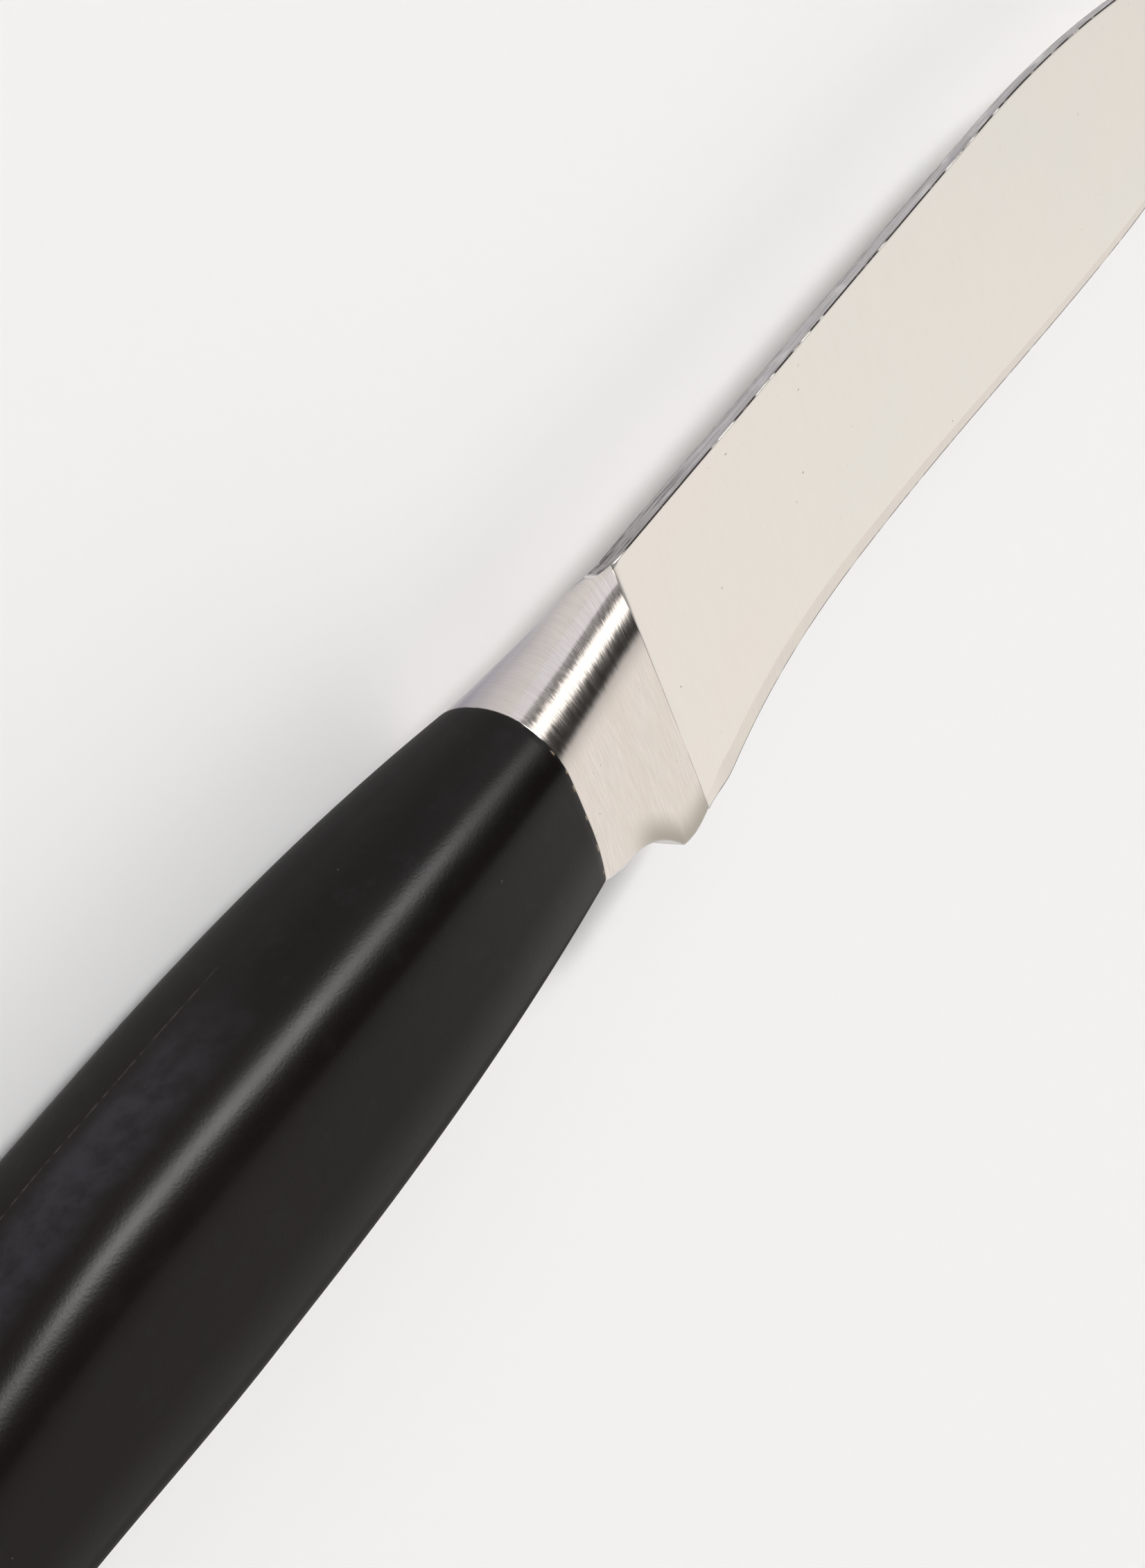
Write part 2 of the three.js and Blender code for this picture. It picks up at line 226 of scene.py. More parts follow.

# Where the plastic's colour, painted seam highlight and finish change: along the knife, across it, up it,
# and by how far it looks up or down
REAR_PALING_RUN = (-50 * MM, -14 * MM)
HAZE_RUN = (-48 * MM, -32 * MM)
HAZE_ACROSS = (0, 2 * MM)
HAZE_FACING = (0.78, 0.95)
CHIPS_RUN = (-0.32 * MM, -0.1 * MM)
SEAM_HIGHLIGHT_ACROSS = (0.03 * MM, PARTING_WIDTH / 2)
SEAM_HIGHLIGHT_UP = (0, 2 * MM)
BACK_FACING = (0.65, 0.95)
UNDERSIDE_FACING = (-0.5, -0.1)

# Steel colours
FACE_WARM = (0.832, 0.787, 0.747)
FACE_COOL = (0.81, 0.793, 0.752)
FACE_LINES = (0.76, 0.715, 0.67)
FACE_SPECKS = (0.32, 0.29, 0.26)
BEVEL_DARK = (0.69, 0.645, 0.605)
BEVEL_LIGHT = (0.76, 0.71, 0.67)
BEVEL_STRAW = (0.77, 0.715, 0.64)
BEVEL_HEEL = (0.8, 0.76, 0.715)
SPINE_DARK = (0.4, 0.38, 0.395)
SPINE_LIGHT = (0.58, 0.555, 0.57)
SPINE_PALE = (0.74, 0.72, 0.73)
SPINE_WORN = (0.27, 0.24, 0.24)
SPINE_SCORE = (0.06, 0.05, 0.05)
# Painted highlight at the rear end of the strip on the bolster
SPINE_END_HIGHLIGHT = (0.82, 0.79, 0.8)
# Painted shade of the blade's sharp corners: the dimmed steel and its broken dark line
CORNER_SHADE_LIGHT = (0.5, 0.48, 0.46)
CORNER_SHADE_DARK = (0.03, 0.026, 0.025)
BOLSTER_DARK = (0.67, 0.615, 0.575)
BOLSTER_LIGHT = (0.755, 0.7, 0.66)
BOLSTER_TAUPE = (0.66, 0.6, 0.545)
# Painted shade: the colour that darkens the bolster's top
BOLSTER_TOP_SHADE = (0.33, 0.31, 0.36)
# Painted shade: the colour over the notch and the spur
BOLSTER_NOTCH_SHADE = (0.34, 0.31, 0.265)
BOLSTER_LINE = (0.12, 0.11, 0.1)
BOLSTER_SPECKS = (0.2, 0.18, 0.16)
TANG_DARK = (0.42, 0.42, 0.42)
TANG_LIGHT = (0.58, 0.57, 0.56)

# Other colours
PLASTIC_DARK = (0.0034, 0.0025, 0.0021)
PLASTIC_LIGHT = (0.0042, 0.0032, 0.0027)
# Paler colour towards the rear of the handle
PLASTIC_REAR_PALE = (0.0062, 0.0046, 0.0039)
PLASTIC_SMUDGE = (0.0105, 0.0098, 0.0102)
PLASTIC_HAZE = (0.0236, 0.022, 0.026)
PLASTIC_DUST = (0.3, 0.27, 0.23)
PLASTIC_CHIP = (0.3, 0.22, 0.15)
# Painted highlight along the parting seam on the back of the handle
PLASTIC_SEAM_HIGHLIGHT = (0.05, 0.042, 0.038)
ADHESIVE_DARK = (0.5, 0.42, 0.27)
ADHESIVE_LIGHT = (0.64, 0.57, 0.4)
FLOOR_DARK = (0.885, 0.885, 0.89)
FLOOR_LIGHT = (0.9, 0.9, 0.905)

# Camera: a view over the back of the handle onto the bolster's right side, rolled to stand upright
PHOTO_WIDTH = 1652
PHOTO_HEIGHT = 2262
FOCAL_PIXELS = 6500
SENSOR_WIDTH = 36
CAMERA_TARGET = Vector((6.67, -2.28, 0)) * MM
CAMERA_DISTANCE = 343.7 * MM
CAMERA_AZIMUTH = math.radians(230.465)
CAMERA_ELEVATION = math.radians(36.528)
CAMERA_ROLL = math.radians(93.41)
CAMERA_NEAREST = 10 * MM

# Floor and lamp
FLOOR_RADIUS = 8
FLOOR_SEGMENTS = 96
LAMP_SIZE = 1.6
LAMP_PLACE = Vector((-0.5, 1.3, 1.3))
LAMP_POWER = 3.6

# Sky in degrees: a band is its start, its end and the width of its soft edges, and an edge is a start and
# an end
ROOM_COLOUR = (0.4, 0.395, 0.39)
DARK_COLOUR = (0.03, 0.028, 0.026)
DARK_AZIMUTH = (-18, 80, 8)
DARK_ELEVATION = (4, 80, 5)
HORIZON_COLOUR = (0.945, 0.945, 1.0)
HORIZON_EDGE = (8, 13)
HORIZON_DIP = 7
DIP_AZIMUTH = (-18, 23, 4)
DIM_AZIMUTH = (46, 100, 5)
DIM_SHARE = 0.33
WING_AZIMUTH = (17.5, 44, 12)
WING_ELEVATION = (0, 22, 5)
PANEL_COLOUR = (1.0, 0.97, 0.93)
PANEL_AZIMUTH = (-85, -21.5, 12)
PANEL_ELEVATION = (-8, 62, 10)
STREAK_FOOT = 25
STREAK_SLANT = 1.6
STREAK_NARROW = (5.5, 18, 2)
STREAK_NARROW_ELEVATION = (12, 51, 5)
STREAK_BROAD = (-3, 25, 6)
STREAK_BROAD_ELEVATION = (36, 51, 5)
STREAK_LOW_COLOUR = (1.9, 1.88, 1.84)
STREAK_MIDDLE_COLOUR = (15, 14.8, 14.7)
STREAK_MIDDLE_EDGE = (29, 37)
STREAK_HIGH_COLOUR = (35, 34.6, 34.2)
STREAK_HIGH_EDGE = (40, 47)


def clamp(value):
    return min(max(value, 0), 1)


def lerp(start, end, share):
    return start + (end - start) * share


def smoothstep(value, start, end):
    share = clamp((value - start) / (end - start))
    return share * share * (3 - 2 * share)


def ease_out(share, power):
    """Eases from 0 to 1, steep at first and level at the end."""
    return 1 - (1 - clamp(share)) ** power


def soft_min(first, second, blend):
    near = max(blend - abs(first - second), 0) / blend
    return min(first, second) - near * near * blend / 4


def soft_ramp(value, start, blend):
    """0 before start and rising evenly after it, with the bend between rounded over the blend."""
    if value > start + blend:
        return value - start
    return clamp((value - start + blend) / (2 * blend)) ** 2 * blend


def even_steps(start, end, count):
    return [lerp(start, end, i / count) for i in range(count + 1)]


@dataclass
class Section:
    """Outline of handle or bolster across the knife. Level cuts its crown off, groove parts it along the
    ridge and flare widens it."""
    x: float
    top: float
    bottom: float
    thickness: float
    exponent: float
    edge_round: float
    lean: float
    level: float = 1.0
    groove: float = 0.0
    flare: float = 0.0

    @property
    def middle(self):
        return (self.top + self.bottom) / 2

    @property
    def reach(self):
        return (self.top - self.bottom) / 2

    @property
    def flat_low(self):
        return self.middle - SIDE_DROP * self.reach

    def crown(self, angle):
        """Point (y, z) of the crown, from 0 at the side to a right angle at the ridge."""
        flat = self.thickness / 2
        y = self.middle + self.reach * math.sin(angle) ** (2 / self.exponent)
        free = flat * (1 + SIDE_FLATNESS) * math.cos(angle) ** (2 / self.exponent)
        flared = self.flare * smoothstep(y, FLARE_LOW, SPINE_HEIGHT)
        return y, soft_min(flat, free, SIDE_FLATNESS * flat) + flared

    def crown_angle(self, y):
        share = min(max((y - self.middle) / self.reach, 0), CROWN_SHARE)
        return math.asin(share ** (self.exponent / 2))

    def half(self):
        """Points from the middle of the flat underside round the +Z side to the ridge."""
        flat = self.thickness / 2
        edge = min(self.edge_round, flat / 2)
        points = [(self.bottom, 0)]
        for angle in even_steps(0, math.pi / 2, CORNER_STEPS):
            y = self.bottom + edge * (1 - math.cos(angle))
            points.append((y, flat - edge * (1 - math.sin(angle))))
        points += [(y, flat) for y in even_steps(self.bottom + edge, self.flat_low, SIDE_STEPS)[1:]]
        end = self.crown_angle(self.level)
        points += [self.crown(angle) for angle in even_steps(0, end, CROWN_STEPS)[1:]]
        ridge = points[-1][0]
        points.append((ridge, min(PARTING_WIDTH / 2, points[-1][1] / 2)))
        points.append((ridge - self.groove, 0))
        leaned = []
        for y, z in points:
            below = max(0, (self.flat_low - y) / (self.flat_low - self.bottom))
            leaned.append(Vector((self.x, y, z * (1 - self.lean * below ** 2))))
        return leaned

    def whole(self):
        half = self.half()
        return half + [Vector((p.x, p.y, -p.z)) for p in reversed(half[1:-1])]

    def drawn_in(self, amount, x):
        """The same outline drawn in all round, for a rounded or chamfered end."""
        return replace(self, x=x, top=self.top - amount, bottom=self.bottom + amount,
                       thickness=self.thickness - 2 * amount)


def handle_section(distance):
    rising = lerp(JOINT_HEIGHT, BACK_HEIGHT, ease_out(distance / BACK_TOP_AT, BACK_POWER))
    palm = lerp(JOINT_DEPTH, PALM_DEPTH, ease_out(distance / PALM_AT, PALM_POWER))
    waist = lerp(palm, WAIST_DEPTH, smoothstep(distance, GRIP_END, WAIST_AT))
    swell = ease_out(distance / SWELL_LENGTH, SWELL_POWER)
    return Section(
        x=-distance,
        top=lerp(rising, BUTT_HEIGHT, smoothstep(distance, BACK_TOP_AT, HANDLE_LENGTH)),
        bottom=-lerp(waist, HOOK_DEPTH, smoothstep(distance, WAIST_AT, HANDLE_LENGTH)),
        thickness=lerp(JOINT_THICKNESS, HANDLE_THICKNESS, swell),
        exponent=lerp(JOINT_EXPONENT, HANDLE_EXPONENT, swell),
        edge_round=lerp(JOINT_EDGE_ROUND, HANDLE_EDGE_ROUND, swell),
        lean=lerp(JOINT_LEAN, HANDLE_LEAN, swell),
        groove=PARTING_DEPTH * smoothstep(distance, PARTING_START, PARTING_FULL),
    )


def butt_section(angle):
    start = HANDLE_LENGTH - BUTT_ROUND
    section = handle_section(start + BUTT_ROUND * math.sin(angle) / math.sin(BUTT_END_ANGLE))
    share = math.cos(angle)
    return replace(
        section,
        top=lerp(section.middle, section.top, share),
        bottom=lerp(section.middle, section.bottom, share),
        thickness=section.thickness * share,
    )


def handle_sections():
    """Sections of the handle from its rounded front edge back to its butt."""
    front = []
    for angle in even_steps(0, math.pi / 2, ROUND_STEPS)[:-1]:
        distance = FRONT_ROUND * (1 - math.cos(angle))
        front.append(handle_section(distance).drawn_in(FRONT_ROUND * (1 - math.sin(angle)), -distance))
    stations = even_steps(FRONT_ROUND, HANDLE_LENGTH - BUTT_ROUND, HANDLE_STATIONS)
    body = [handle_section(distance) for distance in stations]
    butt = [butt_section(angle) for angle in even_steps(0, BUTT_END_ANGLE, BUTT_STATIONS)[1:]]
    return front + body + butt


def bolster_depth(distance):
    """Depth of the lower edge: a sloping lip, a round finger notch, and the spur under the heel."""
    spur_at = BOLSTER_LENGTH - SPUR_LENGTH
    if distance > spur_at:
        return lerp(SPUR_DEPTH, HEEL_DEPTH, ease_out((distance - spur_at) / SPUR_LENGTH, SPUR_POWER))
    run = spur_at - NOTCH_AT
    drop = SPUR_DEPTH - JOINT_DEPTH - LIP_DROP - NOTCH_SLOPE * spur_at
    radius = (run ** 2 + drop ** 2) / (2 * drop)
    along = max(0, distance - NOTCH_AT)
    lip = LIP_DROP * ease_out(distance / NOTCH_AT, LIP_POWER)
    return JOINT_DEPTH + NOTCH_SLOPE * distance + lip + radius - math.sqrt(radius ** 2 - along ** 2)


def bolster_section(distance):
    return Section(
        x=distance,
        top=JOINT_HEIGHT,
        bottom=-bolster_depth(distance),
        thickness=lerp(JOINT_THICKNESS, NOSE_THICKNESS, distance / BOLSTER_LENGTH),
        exponent=JOINT_EXPONENT,
        edge_round=JOINT_EDGE_ROUND,
        lean=JOINT_LEAN,
        level=SPINE_HEIGHT + STRIP_SLOPE * (BOLSTER_LENGTH - distance),
        flare=FLARE_WIDTH * smoothstep(distance, BOLSTER_LENGTH - FLARE_LENGTH, BOLSTER_LENGTH),
    )


def bolster_sections():
    spur_at = BOLSTER_LENGTH - SPUR_LENGTH
    stations = even_steps(REAR_CHAMFER, spur_at, NOTCH_STATIONS)
    stations += even_steps(spur_at, BOLSTER_LENGTH - NOSE_CHAMFER, SPUR_STATIONS)[1:]
    body = [bolster_section(distance) for distance in stations]
    rear = bolster_section(0).drawn_in(REAR_CHAMFER, 0)
    nose = bolster_section(BOLSTER_LENGTH).drawn_in(NOSE_CHAMFER, BOLSTER_LENGTH)
    return [rear] + body + [nose]


def edge_height(distance):
    start_depth = HEEL_DEPTH + HEEL_STEP
    if distance < HOLLOW_AT:
        heel = min(1, distance / HEEL_LENGTH)
        start = lerp(HEEL_DEPTH, start_depth, heel) - HEEL_SAG * math.sin(math.pi * math.sqrt(heel))
        share = soft_ramp(distance, HEEL_LENGTH, HEEL_BLEND) / (HOLLOW_AT - HEEL_LENGTH)
        return -lerp(start, HOLLOW_DEPTH, ease_out(share, HOLLOW_POWER))
    if distance < BELLY_AT:
        return -lerp(HOLLOW_DEPTH, BELLY_DEPTH, smoothstep(distance, HOLLOW_AT, BELLY_AT))
    share = (distance - BELLY_AT) / (BLADE_LENGTH - BELLY_AT)
    return -lerp(BELLY_DEPTH, TIP_DEPTH + TIP_HEIGHT / 2, share ** BELLY_POWER)


def spine_height(distance):
    share = max(0, distance - SPINE_DROP_AT) / (BLADE_LENGTH - SPINE_DROP_AT)
    return lerp(SPINE_HEIGHT, TIP_HEIGHT / 2 - TIP_DEPTH, share ** SPINE_POWER)


def bevel_height(distance):
    full = lerp(BEVEL_AT_TIP, BEVEL_AT_HEEL, (1 - distance / BLADE_LENGTH) ** BEVEL_POWER)
    return full * lerp(BEVEL_START, 1, smoothstep(distance, 0, HEEL_LENGTH))


def rear_drop(distance, y):
    """How far the face is rounded off towards the bolster, most at the spine."""
    near = max(0, 1 - distance / REAR_ROUND)
    return REAR_DROP * (1 - math.sqrt(1 - near ** 2)) * smoothstep(y, REAR_LOW, SPINE_HEIGHT)


def blade_section(distance):
    """Right side of the blade from the edge up, as (y, half thickness, material slot of the run above)."""
    share = distance / BLADE_LENGTH
    spine = spine_height(distance)
    edge = edge_height(distance)
    bevel = min(bevel_height(distance), (spine - edge) / 2)
    shoulder = edge + bevel
    at_bevel = lerp(BEVEL_THICKNESS, BEVEL_TIP_THICKNESS, share) / 2
    at_spine = lerp(SPINE_THICKNESS, TIP_THICKNESS, share) / 2
    at_edge = lerp(BEVEL_THICKNESS, EDGE_THICKNESS, min(1, distance / HEEL_LENGTH)) / 2
    soft = min(SHOULDER_SOFTNESS, bevel / 4)
    broad = 1 - smoothstep(distance, 0, CORNER_LENGTH)
    corner_height = min(lerp(SPINE_ROUND, CORNER_HEIGHT, broad), (spine - shoulder) / 4)
    corner_width = min(lerp(SPINE_ROUND, CORNER_WIDTH, broad), at_spine / 2)
    line = min(EDGE_LINE, bevel / 4)
    points = [(edge, at_edge, CORNER_SHADE_SLOT)]
    for height in (line, bevel / 2, bevel - soft):
        points.append((edge + height, lerp(at_edge, at_bevel, height / bevel), BEVEL_SLOT))
    face_end = spine - corner_height
    support = min(FACE_SUPPORT, (face_end - shoulder) / 8)
    low, high = shoulder + soft, face_end - support
    for y in [shoulder, low, *even_steps(low + support, high, FACE_STEPS), face_end]:
        flat = lerp(at_bevel, at_spine, (y - shoulder) / (spine - shoulder))
        points.append((y, flat - rear_drop(distance, y), FACE_SLOT))
    top = points[-1][1]
    points[-1] = (face_end, top, CORNER_SHADE_SLOT)
    for angle in even_steps(0, math.pi / 2, ROUND_STEPS)[1:]:
        y = face_end + corner_height * math.sin(angle)
        points.append((y, top - corner_width * (1 - math.cos(angle)), CORNER_SHADE_SLOT))
    points[-1] = (*points[-1][:2], SPINE_SLOT)
    return points


def blade_stations():
    heel = even_steps(0, HEEL_LENGTH, HEEL_STATIONS)
    hollow = even_steps(HEEL_LENGTH, HOLLOW_AT, HOLLOW_STATIONS)[1:]
    front = even_steps(HOLLOW_AT, BLADE_LENGTH, FRONT_STATIONS)[1:]
    return heel + hollow + front


def loft_faces(ring_count, point_count):
    """Quads between rings of equal point count, and a cap on each end."""
    faces = []
    for ring in range(ring_count - 1):
        for i in range(point_count):
            following = (i + 1) % point_count
            low, high = ring * point_count, (ring + 1) * point_count
            faces.append((low + i, low + following, high + following, high + i))
    last = (ring_count - 1) * point_count
    faces.append(tuple(range(point_count)))
    faces.append(tuple(last + i for i in range(point_count)))
    return faces


def solid(name, rings, slots=None):
    """A closed object lofted over rings of points in the knife's own frame, with a material slot a run."""
    count = len(rings[0])
    mesh = bpy.data.meshes.new(name)
    mesh.from_pydata([p for ring in rings for p in ring], [], loft_faces(len(rings), count))
    if slots:
        for face in mesh.polygons[:-2]:
            face.material_index = slots[face.index % count]
    made = bpy.data.objects.new(name, mesh)
    made.location = JOINT
    bpy.context.collection.objects.link(made)
    edit = bmesh.new()
    edit.from_mesh(mesh)
    bmesh.ops.recalc_face_normals(edit, faces=edit.faces)
    edit.to_mesh(mesh)
    edit.free()
    return made


def box_rings(low, high):
    corners = [(low.y, low.z), (high.y, low.z), (high.y, high.z), (low.y, high.z)]
    return [[Vector((x, y, z)) for y, z in corners] for x in (low.x, high.x)]


def pocket_rings():
    """Outline of the tang with its clearance, from one pocket floor to the other."""
    half = TANG_HALF_HEIGHT + FIT
    outline = [(FIT, -half), (FIT, half)]
    for angle in even_steps(math.pi / 2, 3 * math.pi / 2, ROUND_SEGMENTS):
        outline.append((TANG_HALF_HEIGHT - TANG_REACH + half * math.cos(angle), half * math.sin(angle)))
    return [[Vector((x, y, z)) for x, y in outline] for z in (-POCKET_DEPTH, POCKET_DEPTH)]


def pin_rings(pin):
    low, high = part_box(pin)
    middle = (low + high) / 2 - JOINT
    radius = (high.x - low.x) / 2 + FIT
    reach = (high.z - low.z) / 2 + FIT
    turns = [2 * math.pi * i / ROUND_SEGMENTS for i in range(ROUND_SEGMENTS)]
    round_points = [(middle.x + radius * math.cos(t), radius * math.sin(t)) for t in turns]
    return [[Vector((x, y, z)) for x, y in round_points] for z in (-reach, reach)]


def carve(piece, tool_rings):
    """Cuts lofted tools out of a piece, one after another."""
    for rings in tool_rings:
        tool = solid("tool", rings)
        modifier = piece.modifiers.new("cut", "BOOLEAN")
        modifier.operation = "DIFFERENCE"
        modifier.solver = "EXACT"
        modifier.object = tool
        shaped = piece.evaluated_get(bpy.context.evaluated_depsgraph_get())
        mesh = bpy.data.meshes.new_from_object(shaped)
        piece.modifiers.clear()
        old = piece.data
        piece.data = mesh
        bpy.data.meshes.remove(old)
        bpy.data.objects.remove(tool)


def soften(piece):
    piece.data.shade_smooth()
    piece.data.set_sharp_from_angle(angle=SMOOTH_ANGLE)


def shoulder_angle(x, y):
    share = clamp(x / BOLSTER_LENGTH)
    lines = [(lerp(rear, front, share), math.radians(angle)) for angle, rear, front in SHOULDER_LINES]
    for (low, start), (high, end) in zip(lines, lines[1:]):
        if y < high:
            return lerp(start, end, clamp((y - low) / (high - low)))
    return lines[-1][1]


def shoulder_normal(place, ridge_half):
    """Normal on the shoulder's lines, turning upright from the edge of the flat top to its middle."""
    taper = (JOINT_THICKNESS - NOSE_THICKNESS) / (2 * BOLSTER_LENGTH)
    angle = shoulder_angle(place.x, place.y)
    flat = math.cos(angle)
    side = min(max(place.z / ridge_half, -1), 1)
    return Vector((taper * flat, math.sin(angle), side * flat)).normalized()


def straighten_shoulder(piece):
    """Gives the bolster's crown the slopes of its shoulder lines, so that reflections run straight."""
    mesh = piece.data
    normals = [Vector() for _ in mesh.loops]
    for face in mesh.polygons:
        section = bolster_section(min(max(face.center.x, 0), BOLSTER_LENGTH))
        ridge_half = section.crown(section.crown_angle(section.level))[1]
        outward = face.normal.z * face.center.z > 0 or face.normal.y > FACING
        on_end = abs(face.normal.x) > FACING
        if face.center.y < section.middle or not outward or on_end or face.material_index == STRIP_SLOT:
            continue
        for loop in face.loop_indices:
            place = mesh.vertices[mesh.loops[loop].vertex_index].co
            normals[loop] = shoulder_normal(place, ridge_half)
    mesh.normals_split_custom_set(normals)


def make_blade():
    rings = []
    for distance in blade_stations():
        points = blade_section(distance)
        x = BOLSTER_LENGTH + distance
        inset = max(0, NOSE_CHAMFER - distance)
        right = [Vector((x, y, max(z - inset, LEAST_HALF))) for y, z, _ in points]
        rings.append(right + [Vector((p.x, p.y, -p.z)) for p in reversed(right)])
    runs = [slot for _, _, slot in blade_section(BLADE_LENGTH / 2)]
    slots = runs + runs[-2::-1] + [CORNER_SHADE_SLOT]
    return solid("fine_blade", rings, slots)


def make_bolster():
    bolster = solid("fine_bolster", [section.whole() for section in bolster_sections()])
    half = TANG_HALF_THICKNESS + FIT
    slot = box_rings(
        Vector((BOLSTER_LENGTH - TONGUE_LENGTH - FIT, TONGUE_BOTTOM - FIT, -TONGUE_THICKNESS / 2)),
        Vector((BOLSTER_LENGTH + FIT, TONGUE_TOP + FIT, TONGUE_THICKNESS / 2)),
    )
    socket = box_rings(
        Vector((-FIT, -TANG_HALF_HEIGHT - FIT, -half)),
        Vector((TANG_SEAT + FIT, TANG_HALF_HEIGHT + FIT, half)),
    )
    carve(bolster, [slot, socket])
    mark_bolster(bolster.data)
    return bolster


def mark_bolster(mesh):
    """Notes each point's height over the lower edge, and gives the worn strip at the nose its own slot."""
    height = mesh.attributes.new(EDGE_HEIGHT, "FLOAT", "POINT")
    for vertex in mesh.vertices:
        distance = min(max(vertex.co.x, 0), BOLSTER_LENGTH)
        height.data[vertex.index].value = vertex.co.y + bolster_depth(distance)
    for face in mesh.polygons:
        at_nose = face.center.x > STRIP_START and face.center.y > SPINE_HEIGHT - FIT
        face.material_index = STRIP_SLOT if at_nose and face.normal.y > STRIP_FACING else BODY_SLOT


def make_shell(name, side):
    rings = [section.half() for section in handle_sections()]
    for ring in rings:
        for point in ring:
            point.z *= side
    shell = solid(name, rings)
    carve(shell, [pocket_rings()] + [pin_rings(pin) for pin in PIN_NODES])
    return shell


def node(tree, kind, inputs=None, **settings):
    """Adds a shader node; an input is a number, a colour or another node's output."""
    made = tree.nodes.new(kind)
    for name, value in settings.items():
        setattr(made, name, value)
    for name, value in (inputs or {}).items():
        if isinstance(value, bpy.types.NodeSocket):
            tree.links.new(value, made.inputs[name])
        else:
            made.inputs[name].default_value = value
    return made


def math_node(tree, operation, *values):
    return node(tree, "ShaderNodeMath", dict(enumerate(values)), operation=operation).outputs[0]


def vector_node(tree, operation, inputs):
    return node(tree, "ShaderNodeVectorMath", inputs, operation=operation).outputs[0]


def axes(tree, vector):
    """The X, Y and Z of a vector."""
    return node(tree, "ShaderNodeSeparateXYZ", {0: vector}).outputs


def map_range(tree, value, start, end, low=0.0, high=1.0, smooth=True):
    kind = "SMOOTHSTEP" if smooth else "LINEAR"
    inputs = {"Value": value, "From Min": start, "From Max": end, "To Min": low, "To Max": high}
    return node(tree, "ShaderNodeMapRange", inputs, interpolation_type=kind).outputs["Result"]


def mix_colour(tree, share, first, second):
    """Mixes two colours, by the numbers that the mix node gives its factor and colour sockets."""
    made = node(tree, "ShaderNodeMix", data_type="RGBA")
    for index, value in ((0, share), (6, first), (7, second)):
        if isinstance(value, bpy.types.NodeSocket):
            tree.links.new(value, made.inputs[index])
        else:
            made.inputs[index].default_value = (*value, 1)
    return made.outputs[2]


def new_material(name):
    material = bpy.data.materials.new(name)
    material.use_nodes = True
    return material, material.node_tree, material.node_tree.nodes["Principled BSDF"]


def knife_place(tree):
    return node(tree, "ShaderNodeTexCoord").outputs["Object"]


def surface_normal(tree):
    return node(tree, "ShaderNodeNewGeometry").outputs["Normal"]


def stretched_noise(tree, per_metre, detail=2.0, roughness=0.5):
    """Noise from 0 to 1 with its own number of waves a metre along each axis of the knife."""
    scaled = vector_node(tree, "MULTIPLY", {0: knife_place(tree), 1: per_metre})
    inputs = {"Vector": scaled, "Scale": 1.0, "Detail": detail, "Roughness": roughness}
    return node(tree, "ShaderNodeTexNoise", inputs).outputs["Fac"]


def bump(tree, height, strength, distance):
    inputs = {"Height": height, "Strength": strength, "Distance": distance}
    return node(tree, "ShaderNodeBump", inputs).outputs["Normal"]


def plug(tree, shader, **inputs):
    """Sets or links inputs of the main shader, whose names are given with _ for a space."""
    for name, value in inputs.items():
        socket = shader.inputs[name.replace("_", " ")]
        if isinstance(value, bpy.types.NodeSocket):
            tree.links.new(value, socket)
        else:
            socket.default_value = value


def blade_face_material():
    material, tree, shader = new_material("blade_satin_steel")
    cloud = stretched_noise(tree, (60, 80, 80), 1.0)
    lines = stretched_noise(tree, (3800, 240, 240), 2.0)
    specks = stretched_noise(tree, (1900, 1900, 1900), 1.0)
    x, _, _ = axes(tree, knife_place(tree))
    tone = math_node(tree, "ADD", map_range(tree, cloud, 0.2, 0.8, -0.25, 0.25, smooth=False),
                     map_range(tree, x, *BLADE_TONING, 0.25, 0.75))
    mottled = mix_colour(tree, tone, FACE_WARM, FACE_COOL)
    brushed = mix_colour(tree, map_range(tree, lines, 0.4, 0.8, 0, 0.15), mottled, FACE_LINES)
    dotted = mix_colour(tree, map_range(tree, specks, 0.79, 0.83, 0, 0.7), brushed, FACE_SPECKS)
    plug(tree, shader, Metallic=1.0, Base_Color=dotted,
         Roughness=map_range(tree, lines, 0.3, 0.7, 0.29, 0.31),
         Normal=bump(tree, lines, 0.03, 0.02 * MM))
    return material


def blade_bevel_material():
    material, tree, shader = new_material("blade_ground_edge")
    lines = stretched_noise(tree, (9000, 300, 300), 3.0)
    cloud = stretched_noise(tree, (200, 300, 300), 2.0)
    x, _, _ = axes(tree, knife_place(tree))
    ground = mix_colour(tree, map_range(tree, lines, 0.3, 0.7), BEVEL_DARK, BEVEL_LIGHT)
    toned = mix_colour(tree, map_range(tree, cloud, 0.4, 0.7, 0, 0.4), ground, BEVEL_STRAW)
    faded = mix_colour(tree, map_range(tree, x, *HEEL_FADING, 0.9, 0), toned, BEVEL_HEEL)
    plug(tree, shader, Metallic=1.0, Base_Color=faded,
         Roughness=map_range(tree, lines, 0.2, 0.8, 0.3, 0.42),
         Normal=bump(tree, lines, 0.15, 0.02 * MM))
    return material


